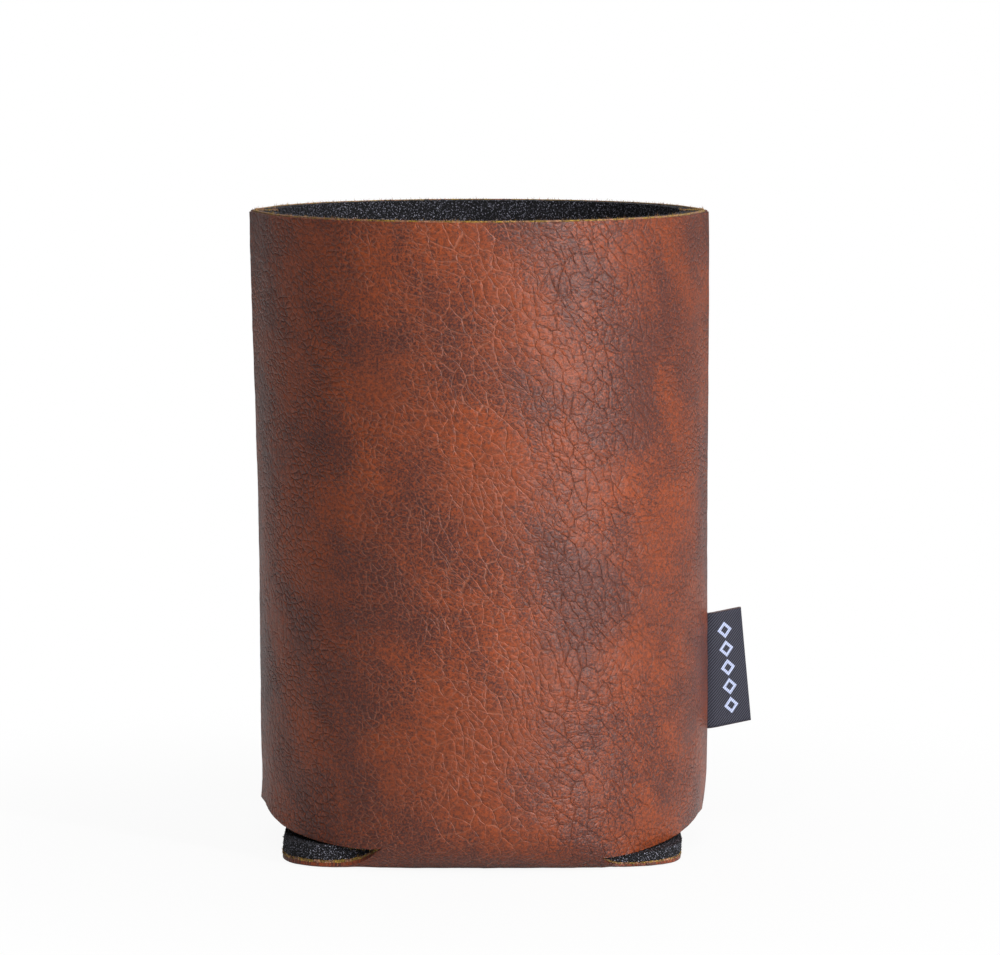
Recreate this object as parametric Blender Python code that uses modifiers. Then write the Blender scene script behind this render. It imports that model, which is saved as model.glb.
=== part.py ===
"""Can cooler sleeve, in metres, +Z up, standing on its strap with the front panel towards -Y.

One blank of leatherette laminated to foam makes the front panel, the strap across
the open foot and the back panel. The side edges are sewn face to face and turned in,
and a folded woven label is caught in the right-hand seam.
"""

import math

import bmesh
import bpy
from mathutils import Vector

COLLECTION = "can_cooler_sleeve"

# Body
HEIGHT = 0.1047
BODY_RADIUS = 0.03695  # outer face of the front and back panels
CORNER_STANDOUT = 0.0002  # how much further out than the panels the seam corners stand
RIM_FLARE = 0.00065  # how much further out the corners stand at the rim
FLARE_START = 0.045  # height where the corners begin to flare

# Laminate
COVER_THICKNESS = 0.0010
FOAM_THICKNESS = 0.0024
LAYER_GAP = 0.0003  # between solids that touch on the real sleeve

# Side seams
SEAM_ALLOWANCE = 0.0046  # from the rim's outermost point to the turned-in cut edge
SHOULDER_RADIUS = 0.0024
SEAM_GAP = 0.0003  # between the two leatherette faces
CREASE_DEPTH = 0.0009  # fold in the foam where the seam allowance turns in
CREASE_WIDTH = 0.0006

# Strap across the foot
STRAP_HALF_WIDTH = 0.0326
STRAP_FLAT_HALF_DEPTH = 0.0273  # centre line to where the strap starts to bend up
EAR_HALF_DEPTH = 0.0283  # centre line to the front edge of an ear
EAR_CORNER_RADIUS = 0.0070
EAR_FRONT_SHARE = 0.2  # part of an ear's depth beside the bend of the strap
SLIT_HALF_SPACING = 0.0185  # centre line to a slit's inner end

# Lower cut edge of the panels
EDGE_CLEARANCE = 0.0003  # above the strap's foam
EDGE_RISE_LEFT = 0.0065  # how much higher the edge is at the seam than at the slit
EDGE_RISE_RIGHT = 0.0026
EDGE_CURVE = 1.8
EDGE_SLIT_LIFT = 0.0005  # extra clearance over the strap's foam beside the slit
EDGE_BAND = 0.0008  # row spacing of the faces just above the edge

# Side label
LABEL_PLY = 0.0003
LABEL_FOLD_GAP = 0.00015  # between the two plies
LABEL_CLEARANCE = 0.0003
LABEL_HEIGHT = 0.0190
LABEL_CENTRE_HEIGHT = 0.0277
LABEL_MARGIN = 0.0038  # height over which the seam closes again above and below
LABEL_REACH = 0.0074  # from the corner to the fold
LABEL_CAUGHT = 0.0030  # from the corner into the seam
LABEL_TILT = math.radians(5)
LABEL_SWING = math.radians(30)  # the free part lies back towards +Y
LABEL_SWING_LENGTH = 0.0018

# Facets
CENTRE_STEPS = 12
OUTER_STEPS = 8
SHOULDER_STEPS = 5
BEND_STEPS = 6
SLIT_STEP = 2  # the slit ends on this row of the bend
EAR_STEPS = 4
FLAT_STEPS = 3
FOLD_STEPS = 4
FLARE_STEPS = 3
SHARP_ANGLE = math.radians(35)

CORNER_REACH = BODY_RADIUS + CORNER_STANDOUT
LAMINATE = COVER_THICKNESS + LAYER_GAP + FOAM_THICKNESS
INNER_RADIUS = BODY_RADIUS - LAMINATE
TURNED_IN_X = CORNER_REACH + RIM_FLARE - SEAM_ALLOWANCE
SLIT_ANGLE = math.asin(SLIT_HALF_SPACING / BODY_RADIUS)
LABEL_THICKNESS = 2 * LABEL_PLY + LABEL_FOLD_GAP
LEFT, RIGHT = -1, 1


class SkinPoint:
    """A point of the sleeve's outer face, its outward direction, and the point behind it inside."""

    def __init__(self, point, outward, inside=None):
        self.point = point
        self.outward = outward
        self.inside = inside or point - LAMINATE * outward

    def at_depth(self, depth):
        if depth >= LAMINATE:
            return self.inside
        return self.point - depth * self.outward


def blend(start, end, share):
    return start + (end - start) * share


def smooth_step(value):
    value = min(max(value, 0.0), 1.0)
    return value * value * (3 - 2 * value)


def corner_reach(z):
    flare = smooth_step((z - FLARE_START) / (HEIGHT - FLARE_START))
    return CORNER_REACH + RIM_FLARE * flare


def seam_half_gap(side, z):
    """Half the distance between the leatherette faces, wider where the label is caught."""
    if side == LEFT:
        return SEAM_GAP / 2
    beyond = abs(z - LABEL_CENTRE_HEIGHT) - label_root_half_height()
    open_share = 1 - smooth_step(beyond / LABEL_MARGIN)
    return blend(SEAM_GAP / 2, LABEL_THICKNESS / 2 + LABEL_CLEARANCE, open_share)


def label_root_half_height():
    """Half the label's height in the seam, with the little that its tilt adds."""
    return LABEL_HEIGHT / 2 * math.cos(LABEL_TILT) + LABEL_CAUGHT * math.sin(LABEL_TILT)


def panel_arc(angle, z):
    """Skin point on the round of the front panel; the angle is measured from +X towards -Y."""
    outward = Vector((math.cos(angle), -math.sin(angle), 0))
    return SkinPoint(BODY_RADIUS * outward + Vector((0, 0, z)), outward)


def foam_crease_angle(half_gap):
    """Angle on the foam's inner face where the turned-in allowance begins."""
    return math.asin((half_gap + LAMINATE + CREASE_WIDTH) / INNER_RADIUS)


def turned_in_foam(half_gap, z):
    """Foam's inner face behind the shoulder, from the foot of the crease to the cut edge."""
    behind_seam = half_gap + LAMINATE
    crease_foot = Vector((INNER_RADIUS + CREASE_DEPTH, -behind_seam - CREASE_WIDTH / 2, z))
    cut_edge = Vector((TURNED_IN_X, -behind_seam, z))
    steps = SHOULDER_STEPS + 1
    return [blend(crease_foot, cut_edge, step / steps) for step in range(steps + 1)]


def corner_section(side, z):
    """Right-hand half of the front panel's section, from just past the slit to the cut edge."""
    half_gap = seam_half_gap(side, z)
    centre = Vector((corner_reach(z) - SHOULDER_RADIUS, -half_gap - SHOULDER_RADIUS, z))
    bearing = math.atan2(-centre.y, centre.x)
    distance = math.hypot(centre.x, centre.y)
    leave = bearing + math.acos((BODY_RADIUS - SHOULDER_RADIUS) / distance)
    slit = math.pi / 2 - SLIT_ANGLE
    crease = foam_crease_angle(half_gap)
    section = []
    for step in range(1, OUTER_STEPS + 1):
        skin = panel_arc(blend(slit, leave, step / OUTER_STEPS), z)
        behind = panel_arc(blend(slit, crease, step / OUTER_STEPS), z).inside
        section.append(SkinPoint(skin.point, skin.outward, behind))
    inside = turned_in_foam(half_gap, z)
    for step in range(SHOULDER_STEPS + 1):
        angle = blend(leave, -math.pi / 2, step / SHOULDER_STEPS)
        outward = Vector((math.cos(angle), -math.sin(angle), 0))
        section.append(SkinPoint(centre + SHOULDER_RADIUS * outward, outward, inside[step]))
    cut_edge = Vector((TURNED_IN_X, -half_gap, z))
    section.append(SkinPoint(cut_edge, Vector((0, 1, 0)), inside[-1]))
    return section


def mirrored(skin):
    """The same skin point on the left-hand side."""
    flip = Vector((-1, 1, 1))
    return SkinPoint(skin.point * flip, skin.outward * flip, skin.inside * flip)


def edge_height(side, column):
    """Height of the panel's lower cut edge on a column, counted out from the slit."""
    arc_share = min((column + 1) / OUTER_STEPS, 1.0)
    rise = EDGE_RISE_LEFT if side == LEFT else EDGE_RISE_RIGHT
    over_foam = EDGE_CLEARANCE + EDGE_SLIT_LIFT * (1 - arc_share) ** 2
    return LAMINATE + over_foam + rise * arc_share**EDGE_CURVE


def side_row(side, height_of_column):
    """One row of skin points on a side of the front panel, out from the slit."""
    columns = len(corner_section(side, HEIGHT))
    row = []
    for column in range(columns):
        row.append(corner_section(side, height_of_column(column))[column])
    return row if side == RIGHT else [mirrored(skin) for skin in row]


def centre_angles():
    """Angles of the columns between the slits, from left to right, off straight ahead."""
    return [blend(-SLIT_ANGLE, SLIT_ANGLE, k / CENTRE_STEPS) for k in range(CENTRE_STEPS + 1)]


def bend_radius(across):
    return BODY_RADIUS * math.cos(across) - STRAP_FLAT_HALF_DEPTH


def bend_point(across, step):
    """Skin point where the front panel bends under into the strap."""
    turn = math.pi / 2 * step / BEND_STEPS
    radius = bend_radius(across)
    point = Vector((
        BODY_RADIUS * math.sin(across),
        -STRAP_FLAT_HALF_DEPTH - radius * math.cos(turn),
        radius * (1 - math.sin(turn)),
    ))
    outward = Vector((
        math.cos(turn) * math.sin(across),
        -math.cos(turn) * math.cos(across),
        -math.sin(turn),
    ))
    return SkinPoint(point, outward)


def panel_levels():
    """Heights of the panel's rows from the rim down to just above the label's foot."""
    seam_part = label_root_half_height()
    flared = [blend(HEIGHT, FLARE_START, k / FLARE_STEPS) for k in range(FLARE_STEPS)]
    return flared + [
        LABEL_CENTRE_HEIGHT + seam_part + LABEL_MARGIN,
        LABEL_CENTRE_HEIGHT + seam_part,
        LABEL_CENTRE_HEIGHT - seam_part,
        LABEL_CENTRE_HEIGHT - seam_part - LABEL_MARGIN,
    ]


def panel_row(side_height, centre_row):
    left = side_row(LEFT, lambda column: side_height(LEFT, column))
    right = side_row(RIGHT, lambda column: side_height(RIGHT, column))
    return left[::-1] + centre_row + right


def panel_rows():
    """The front panel: rows from the rim to the lower cut edge, columns from left to right."""
    rows = []
    for level in panel_levels():
        centre = [panel_arc(math.pi / 2 - across, level) for across in centre_angles()]
        rows.append(panel_row(lambda side, column: level, centre))
    for step in range(SLIT_STEP + 1):
        above = (SLIT_STEP - step) * EDGE_BAND
        centre = [bend_point(across, step) for across in centre_angles()]
        rows.append(panel_row(lambda side, column: edge_height(side, column) + above, centre))
    return rows


def ear_outline():
    """Points (x, depth) of an ear's front edge, from near the slit round to its side."""
    corner_x = STRAP_HALF_WIDTH - EAR_CORNER_RADIUS
    points = [(blend(SLIT_HALF_SPACING, corner_x, 0.5), EAR_HALF_DEPTH)]
    for step in range(EAR_STEPS + 1):
        turn = math.pi / 2 * step / EAR_STEPS
        x = corner_x + EAR_CORNER_RADIUS * math.sin(turn)
        points.append((x, EAR_HALF_DEPTH - EAR_CORNER_RADIUS * (1 - math.cos(turn))))
    return points


def ear_row(step):
    """One row of skin points across the right-hand ear, flat on the ground."""
    bend_rows = BEND_STEPS - SLIT_STEP
    row = []
    for x, depth in ear_outline():
        if step <= bend_rows:
            y = -depth * (1 - EAR_FRONT_SHARE * step / bend_rows)
        else:
            y = -depth * (1 - EAR_FRONT_SHARE) * (1 - (step - bend_rows) / FLAT_STEPS)
        row.append(SkinPoint(Vector((x, y, 0)), Vector((0, 0, -1))))
    return row


def strap_centre_row(step):
    """One row of skin points between the slits, from the slits' ends to the middle of the strap."""
    bend_step = SLIT_STEP + step
    if bend_step <= BEND_STEPS:
        return [bend_point(across, bend_step) for across in centre_angles()]
    y = -STRAP_FLAT_HALF_DEPTH * (1 - (bend_step - BEND_STEPS) / FLAT_STEPS)
    row = []
    for across in centre_angles():
        x = BODY_RADIUS * math.sin(across)
        row.append(SkinPoint(Vector((x, y, 0)), Vector((0, 0, -1))))
    return row


def strap_rows():
    """Front half of the strap with its ears: rows from the slits' ends to the middle."""
    rows = []
    for step in range(BEND_STEPS - SLIT_STEP + FLAT_STEPS + 1):
        right = ear_row(step)
        left = [mirrored(skin) for skin in right]
        rows.append(left[::-1] + strap_centre_row(step) + right)
    return rows


def vertex_grid(mesh, rows, depth):
    return [[mesh.verts.new(skin.at_depth(depth)) for skin in row] for row in rows]


def share_slit_row(mesh, panel, strap):
    """Make the strap's first row use the panel's vertices between the slits."""
    ears = len(ear_outline())
    sides = (len(panel[-1]) - CENTRE_STEPS - 1) // 2
    for column in range(CENTRE_STEPS + 1):
        mesh.verts.remove(strap[0][ears + column])
        strap[0][ears + column] = panel[-1][sides + column]


def sheet_vertices(mesh, depth):
    panel = vertex_grid(mesh, panel_rows(), depth)
    strap = vertex_grid(mesh, strap_rows(), depth)
    share_slit_row(mesh, panel, strap)
    return panel, strap


def add_grid_faces(mesh, grid):
    """Faces that look outward on the sleeve's outer side."""
    faces = []
    for upper, lower in zip(grid, grid[1:]):
        for k in range(len(upper) - 1):
            faces.append(mesh.faces.new((upper[k], lower[k], lower[k + 1], upper[k + 1])))
    return faces


def paired(outer_grid, inner_grid):
    pairs = {}
    for outer_row, inner_row in zip(outer_grid, inner_grid):
        pairs.update(zip(outer_row, inner_row))
    return pairs


def add_cut_edges(mesh, behind):
    """Close the layer along every free edge but the ones in the middle plane.

    Each face starts at the outer corner further from the middle, so that it splits
    the same way on both sides and the twisted facets by the slits stay clear.
    """
    free = [edge for edge in mesh.edges if edge.is_boundary]
    for edge in free:
        if all(abs(vertex.co.y) < 1e-7 for vertex in edge.verts):
            continue
        loop = edge.link_loops[0]
        first, second = loop.vert, loop.link_loop_next.vert
        corners = [second, first, behind[first], behind[second]]
        if abs(second.co.x) < abs(first.co.x):
            corners = corners[1:] + corners[:1]
        mesh.faces.new(corners)


def laminate_layer(name, outer_depth, inner_depth, surface):
    """One layer of the front half of the blank, mirrored to the back across the strap's middle."""
    mesh = bmesh.new()
    outer = sheet_vertices(mesh, outer_depth)
    for grid in outer:
        add_grid_faces(mesh, grid)
    inner = sheet_vertices(mesh, inner_depth)
    behind = {}
    for outer_grid, inner_grid in zip(outer, inner):
        behind.update(paired(outer_grid, inner_grid))
    add_cut_edges(mesh, behind)
    for grid in inner:
        for face in add_grid_faces(mesh, grid):
            face.normal_flip()
    layer = new_object(name, mesh, surface)
    mirror = layer.modifiers.new("back half", "MIRROR")
    mirror.use_axis = (False, True, False)
    mirror.merge_threshold = 0.00005
    return layer


def label_path():
    """Folded ribbon seen from above: (distance out, sideways) from its caught end and back."""
    half = (LABEL_PLY + LABEL_FOLD_GAP) / 2
    length = LABEL_CAUGHT + LABEL_REACH
    out = [0.0, LABEL_CAUGHT, LABEL_CAUGHT + LABEL_SWING_LENGTH / 2]
    out += [LABEL_CAUGHT + LABEL_SWING_LENGTH, length - half]
    path = [(distance, -half) for distance in out]
    for step in range(1, FOLD_STEPS):
        turn = math.pi * step / FOLD_STEPS
        path.append((length - half + half * math.sin(turn), -half * math.cos(turn)))
    path += [(distance, half) for distance in reversed(out)]
    return path


def swung(distance, sideways, z):
    """Place a point of the straight ribbon in the seam, with the free part swung back."""
    turning = min(max(distance - LABEL_CAUGHT, 0.0), LABEL_SWING_LENGTH)
    angle = LABEL_SWING * turning / LABEL_SWING_LENGTH
    straight = min(distance, LABEL_CAUGHT)
    beyond = max(distance - LABEL_CAUGHT - LABEL_SWING_LENGTH, 0.0)
    bend = LABEL_SWING_LENGTH / LABEL_SWING
    x = straight + bend * math.sin(angle) + beyond * math.cos(angle)
    y = bend * (1 - math.cos(angle)) + beyond * math.sin(angle)
    start = corner_reach(z) - LABEL_CAUGHT
    return Vector((start + x - sideways * math.sin(angle), y + sideways * math.cos(angle), z))


def side_label():
    """Woven ribbon folded in two, with both ends caught between the right-hand seam's faces."""
    mesh = bmesh.new()
    rows = []
    for up in (LABEL_HEIGHT / 2, 0.0, -LABEL_HEIGHT / 2):
        row = []
        for distance, sideways in label_path():
            out = distance * math.cos(LABEL_TILT) - up * math.sin(LABEL_TILT)
            z = LABEL_CENTRE_HEIGHT + distance * math.sin(LABEL_TILT) + up * math.cos(LABEL_TILT)
            row.append(mesh.verts.new(swung(out, sideways, z)))
        rows.append(row)
    add_grid_faces(mesh, rows)
    label = new_object("side_label", mesh, material("black ribbon", (0.018, 0.018, 0.024), 0.7))
    ply = label.modifiers.new("ply", "SOLIDIFY")
    ply.thickness = LABEL_PLY
    ply.offset = 0
    ply.use_even_offset = True
    return label


def material(name, colour, roughness):
    made = bpy.data.materials.new(name)
    made.use_nodes = True
    shader = made.node_tree.nodes["Principled BSDF"]
    shader.inputs["Base Color"].default_value = (*colour, 1)
    shader.inputs["Roughness"].default_value = roughness
    shader.inputs["Metallic"].default_value = 0
    return made


def new_object(name, mesh, surface):
    data = bpy.data.meshes.new(name)
    mesh.to_mesh(data)
    mesh.free()
    data.materials.append(surface)
    data.shade_smooth()
    data.set_sharp_from_angle(angle=SHARP_ANGLE)
    made = bpy.data.objects.new(name, data)
    bpy.data.collections[COLLECTION].objects.link(made)
    return made


def clear_scene():
    for old in list(bpy.data.objects):
        bpy.data.objects.remove(old, do_unlink=True)


def main():
    clear_scene()
    bpy.context.scene.collection.children.link(bpy.data.collections.new(COLLECTION))
    leatherette = material("brown leatherette", (0.24, 0.075, 0.035), 0.45)
    laminate_layer("leatherette_cover", 0.0, COVER_THICKNESS, leatherette)
    foam = material("black foam", (0.012, 0.012, 0.014), 0.95)
    laminate_layer("foam_lining", COVER_THICKNESS + LAYER_GAP, LAMINATE, foam)
    side_label()


main()
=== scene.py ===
"""Looks of the can cooler sleeve: the grained skin, its cloth back, the foam and the label."""

import math

import bmesh
import bpy
import numpy as np
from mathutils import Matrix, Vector


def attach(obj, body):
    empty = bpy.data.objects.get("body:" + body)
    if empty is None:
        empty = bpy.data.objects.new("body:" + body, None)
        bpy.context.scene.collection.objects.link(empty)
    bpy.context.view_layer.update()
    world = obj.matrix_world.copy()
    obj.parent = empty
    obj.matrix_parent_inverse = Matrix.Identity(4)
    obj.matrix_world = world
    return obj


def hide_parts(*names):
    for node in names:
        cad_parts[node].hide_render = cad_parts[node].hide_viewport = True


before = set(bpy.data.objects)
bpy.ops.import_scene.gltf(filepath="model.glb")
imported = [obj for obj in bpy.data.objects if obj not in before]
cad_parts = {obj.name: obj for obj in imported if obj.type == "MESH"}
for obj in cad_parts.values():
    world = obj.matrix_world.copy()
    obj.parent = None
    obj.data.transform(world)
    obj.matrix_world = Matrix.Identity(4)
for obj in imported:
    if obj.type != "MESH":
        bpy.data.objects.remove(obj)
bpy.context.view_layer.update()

MM = 0.001
LEFT, RIGHT = -1, 1

# Body
HEIGHT = 0.1047
BODY_RADIUS = 0.03695  # outer face of the front and back panels
CORNER_REACH = 0.03715  # centre line to a seam corner below the flare
RIM_FLARE = 0.00065  # extra reach of the corners at the rim
FLARE_START = 0.045  # height where the corners begin to flare

# Layers, as depths under the outer face
SKIN_DEPTH = 0.0006
CLOTH_DEPTH = 0.0011
FOAM_DEPTH = 0.0037

# Side seams
SEAM_ALLOWANCE = 0.0046  # from the rim's outermost point to the turned-in cut edge
SHOULDER_RADIUS = 0.0024
SEAM_HALF_GAP = 0.00005
CREASE_DEPTH = 0.0009  # fold in the foam where the seam allowance turns in
CREASE_WIDTH = 0.0005

# How the tube stands over its strap
CORNER_TUCK = {LEFT: 0.0004, RIGHT: 0.0003}  # how far the corners draw in at their foot
TUCK_START = 0.022  # height below which the corners draw in
TUCK_POWER = 6  # a higher power keeps it closer to the corners
LEAN = 0.0010  # of the tube, to the right of its strap
LEAN_LOSS = 0.85  # share of the lean that is gone at the rim
LEAN_FOOT = 0.012  # height over which the lean sets in

# Strap across the foot
STRAP_END = {LEFT: 0.0319, RIGHT: 0.0331}  # centre line to the end of an ear
STRAP_FLAT_HALF_DEPTH = 0.0273  # centre line to where the strap starts to bend up
EAR_HALF_DEPTH = {LEFT: 0.0284, RIGHT: 0.0270}  # centre line to an ear's front edge
EAR_CORNER_RADIUS = {LEFT: 0.0095, RIGHT: 0.0076}
EAR_FRONT_SHARE = 0.1  # part of an ear's depth beside the bend of the strap
EAR_PRESSED_SHARE = 0.3  # share of an ear's half depth that a panel presses thin
EAR_SPRING_SHARE = 0.2  # share of it over which the ear springs back to full thickness
EAR_THINNEST_SHARE = 0.4  # least share of the laminate's thickness
EAR_FORWARD = {LEFT: 0.0018, RIGHT: 0.0026}  # how far the front edge comes out at the slit
EAR_FORWARD_WIDTH = {LEFT: 0.0030, RIGHT: 0.0042}
EAR_LIFT_WIDTH = {LEFT: 0.0027, RIGHT: 0.0013}  # how far out from the slit an ear is lifted
EAR_LIFT_CURVE = 1.3
EAR_ROUNDING = 0.0003  # how far the cut pulls the skin up at an ear's edge
EAR_ROUNDING_WIDTH = 0.0010
SLIT_X = {LEFT: 0.0155, RIGHT: 0.0200}  # centre line to a slit's inner end
SLIT_TURN = {LEFT: math.radians(19), RIGHT: math.radians(25)}  # how far round the bend it ends
PATTERN_BEND = 0.0055  # extra length of the pattern round the bend

# Lower cut edge of the panels
EDGE_LOW = {LEFT: 0.00375, RIGHT: 0.0020}  # its height where it leaves the slit
EDGE_RISE = {LEFT: 0.0035, RIGHT: 0.0032}  # how much higher it is at the seam
EDGE_CURVE = {LEFT: 2.4, RIGHT: 1.5}
EDGE_BAND = 0.0024  # height of the finer rows just above the edge
SLIT_REACH = 0.06  # share of the way to the seam over which the edge leaves the slit

# Side label
LABEL_PLY = 0.0003
LABEL_FOLD_GAP = 0.00005  # between the two plies
LABEL_CLEARANCE = 0.00005
LABEL_HEIGHT = 0.0193
LABEL_CENTRE_HEIGHT = 0.0277
LABEL_ROOT_MARGIN = 0.0004  # what the tilt adds to half the label's height in the seam
LABEL_SEAM_MARGIN = 0.0030  # height over which the seam closes again above and below
LABEL_REACH = 0.0074  # from the corner to the fold
LABEL_CAUGHT = 0.0030  # from the corner into the seam
LABEL_TILT = math.radians(6)
LABEL_SWING = math.radians(30)  # the free part lies back towards +Y
LABEL_SWING_LENGTH = 0.0018
LABEL_CURL = 0.0004  # how far the free part waves in and out
LABEL_CURL_ANGLE = 6.0  # radians of that wave over the label's height
LABEL_ROWS = 31
LABEL_COLUMNS = 36
LABEL_FOLD_STEPS = 8
RIBBON_TWILL = 0.00036  # from rib to rib
RIBBON_PICK = 0.00012  # from weft thread to weft thread
LOZENGE_OUT = 0.0038  # from the corner to the middle of the column of lozenges
LOZENGE_WIDTH = 0.0032
LOZENGE_LENGTH = 0.0032
LOZENGE_COUNT = 5

# Stitches on the turned-in seam allowance
STITCH_INSET = 0.0004
STITCH_FOOT = 0.012
STITCH_LENGTH = 0.0026
STITCH_PITCH = 0.0034
STITCH_RADIUS = 0.00017
STITCH_THINNEST = 0.02  # share of the middle's section area that the tips keep
STITCH_BOW = 0.00012
STITCH_SUNK_SHARE = 0.6  # share of its bow by which a stitch's ends lie in the foam
STITCH_POINTS = 9

# Mesh fineness
SKIN_CELL = 0.00066
CLOTH_CELL = 0.0013
FOAM_CELL = 0.0018
INNER_STRIDE = 3  # an inner face has one point for so many on the outer face
SHOULDER_RUN = 0.0040
FLANGE_RUN = 0.0015
BEND_RUN = 0.0060
SHARP_ANGLE = math.radians(50)
WELD_DISTANCE = 1e-6
WELD_HEIGHT = 0.01  # the halves meet below this height

# Loose fibres on the cut edges
CLOTH_FUZZ = {"per_mm": 16, "length": 0.00046, "width": 0.00014, "stand": 0.00022}
FOAM_FUZZ = {"per_mm": 9, "length": 0.00036, "width": 0.00016, "stand": 0.00010}
FIBRE_SINK = 0.00006
FIBRE_SPREAD = 0.45
FIBRE_SEED = 7

# Grain of the skin, in millimetres on the pattern
CREASED_X = 12.0  # where the skin is creased most, to the right of the front's middle
PAINTED_HIGHLIGHT_X = -7.0  # where the crease lines get their painted highlight
FOLD_CELL = 1.90
FOLD_LINE_DEPTH = 0.090
FOLD_PILLOW_HEIGHT = 0.050
FOLD_PILLOW_SWELL = 0.030
SMALL_CELL = 1.05
SMALL_LINE_DEPTH = 0.055
SMALL_PILLOW_HEIGHT = 0.035
PEBBLE_SIZE = 0.40
PEBBLE_HEIGHT = 0.10
SWELL_SIZE = 4.5
SWELL_HEIGHT = 0.16

# Pores of the foam, in millimetres
FOAM_PORE = 0.27
FOAM_GRIT = 0.26

# Colours
WARM_TAN = (0.315, 0.061, 0.015)
WARM_BROWN = (0.268, 0.055, 0.017)
GRAIN_BROWN = (0.115, 0.032, 0.018)
AGED_BROWN = (0.110, 0.034, 0.026)
SPECK_BROWN = (0.050, 0.020, 0.019)
# painted shade in the skin's crease lines
CREASE_PAINTED_SHADE = (0.070, 0.020, 0.012)
# painted highlight on the skin's crease lines near the left of the front
CREASE_PAINTED_HIGHLIGHT = (0.42, 0.145, 0.080)
YARN_OCHRE = (0.56, 0.35, 0.050)
YARN_STAINED = (0.58, 0.29, 0.17)
YARN_SHADE = (0.09, 0.045, 0.020)
FOAM_BLACK = (0.009, 0.009, 0.011)
FOAM_GLINT = (0.52, 0.52, 0.64)
RIBBON_BLACK = (0.004, 0.004, 0.007)
RIBBON_RIB = (0.062, 0.063, 0.090)
RIBBON_WORN = (0.07, 0.066, 0.085)
RIBBON_EDGE = (0.30, 0.17, 0.13)
LOZENGE_SHADE = (0.25, 0.28, 0.42)
LOZENGE_PALE = (0.52, 0.58, 0.80)
THREAD_BLACK = (0.010, 0.010, 0.012)
THREAD_GREY = (0.05, 0.05, 0.055)
FLOOR_PALE = (0.86, 0.86, 0.86)
WHITE = (1, 1, 1)

# Studio
WORLD_LEVEL = 0.11  # strength of the world where its white is not seen
GLOSS_SHARE = 0.06  # how much of the white background glossy rays see
FLOOR_REACH = 6.0
FLOOR_DROP = 0.0001
FLOOR_GLOW = 0.93
FLOOR_FADE = (0.05, 0.16)  # from the middle, where the floor fades to the background

# Camera, fitted to the photograph
CAMERA_PLACE = (0.0036, -0.786, 0.1447)
CAMERA_DOWN = math.radians(6.12)
CAMERA_LENS = 171.4
CAMERA_SENSOR = 36.0

LAMINATE = FOAM_DEPTH
INNER_RADIUS = BODY_RADIUS - LAMINATE
TURNED_IN_X = CORNER_REACH + RIM_FLARE - SEAM_ALLOWANCE
SLIT_ANGLE = {side: math.asin(SLIT_X[side] / BODY_RADIUS) for side in (LEFT, RIGHT)}
LABEL_THICKNESS = 2 * LABEL_PLY + LABEL_FOLD_GAP

# The flat blank that the cover is cut from
PATTERN_MIDDLE = HEIGHT + PATTERN_BEND + STRAP_FLAT_HALF_DEPTH  # rim to the strap's middle


def blend(start, end, share):
    return start + (end - start) * share


def smooth_step(value):
    value = np.clip(value, 0.0, 1.0)
    return value * value * (3 - 2 * value)


def stack(*parts):
    return np.stack(np.broadcast_arrays(*parts), axis=-1).astype(float)


class Surface:
    """A grid of points of the skin, with outward directions and pattern coordinates."""

    def __init__(self, point, outward, inside, flat):
        self.point, self.outward, self.inside, self.flat = point, outward, inside, flat

    @property
    def shape(self):
        return self.point.shape[:2]

    def at_depth(self, depth):
        if depth >= LAMINATE:
            return self.inside
        return self.point - depth * self.outward

    def mirrored(self):
        """The left-hand twin, with its columns in the order from left to right."""
        flip = np.array([-1.0, 1.0, 1.0])
        parts = (self.point, self.outward, self.inside, self.flat)
        return Surface(*[(part * flip)[:, ::-1] for part in parts])


def joined(surfaces, axis):
    arrays = []
    for name in ("point", "outward", "inside", "flat"):
        arrays.append(np.concatenate([getattr(s, name) for s in surfaces], axis=axis))
    return Surface(*arrays)


def side_by_side(*surfaces):
    return joined(surfaces, axis=1)


def above_each_other(*surfaces):
    return joined(surfaces, axis=0)


class Detail:
    """Numbers of columns and rows in each stretch of the blank, at a chosen fineness."""

    def __init__(self, cell):
        def steps(length, least=1):
            count = max(least, round(length / cell))
            return INNER_STRIDE * math.ceil(count / INNER_STRIDE)

        self.centre = steps((SLIT_ANGLE[LEFT] + SLIT_ANGLE[RIGHT]) * BODY_RADIUS)
        self.outer = steps((math.pi / 2 - SLIT_ANGLE[RIGHT]) * BODY_RADIUS)
        self.shoulder = steps(SHOULDER_RUN, least=9)
        self.flange = steps(FLANGE_RUN)
        self.wall = steps(HEIGHT - EDGE_BAND)
        self.band = steps(EDGE_BAND, least=6)
        self.under = steps(BEND_RUN, least=9)
        self.flat = steps(STRAP_FLAT_HALF_DEPTH)
        ear_front = STRAP_END[LEFT] - EAR_CORNER_RADIUS[LEFT] - SLIT_X[LEFT]
        self.ear_front = steps(ear_front, least=12)
        self.ear_corner = steps(EAR_CORNER_RADIUS[LEFT] * math.pi / 2, least=12)


def corner_reach(z):
    return CORNER_REACH + RIM_FLARE * smooth_step((z - FLARE_START) / (HEIGHT - FLARE_START))


def tucked(side, points):
    """Draw a side of a panel in towards its foot."""
    x, z = points[:, :, 0], points[:, :, 2]
    tuck = CORNER_TUCK[side] * smooth_step(1 - z / TUCK_START) * (x / CORNER_REACH) ** TUCK_POWER
    return points - stack(tuck, 0, 0)


def seam_half_gap(side, z):
    """Half the distance between the skin's faces, wider where the label is caught."""
    if side == LEFT:
        return SEAM_HALF_GAP + 0 * z
    beyond = np.abs(z - LABEL_CENTRE_HEIGHT) - LABEL_HEIGHT / 2 - LABEL_ROOT_MARGIN
    open_share = 1 - smooth_step(beyond / LABEL_SEAM_MARGIN)
    return blend(SEAM_HALF_GAP, LABEL_THICKNESS / 2 + LABEL_CLEARANCE, open_share)


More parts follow.
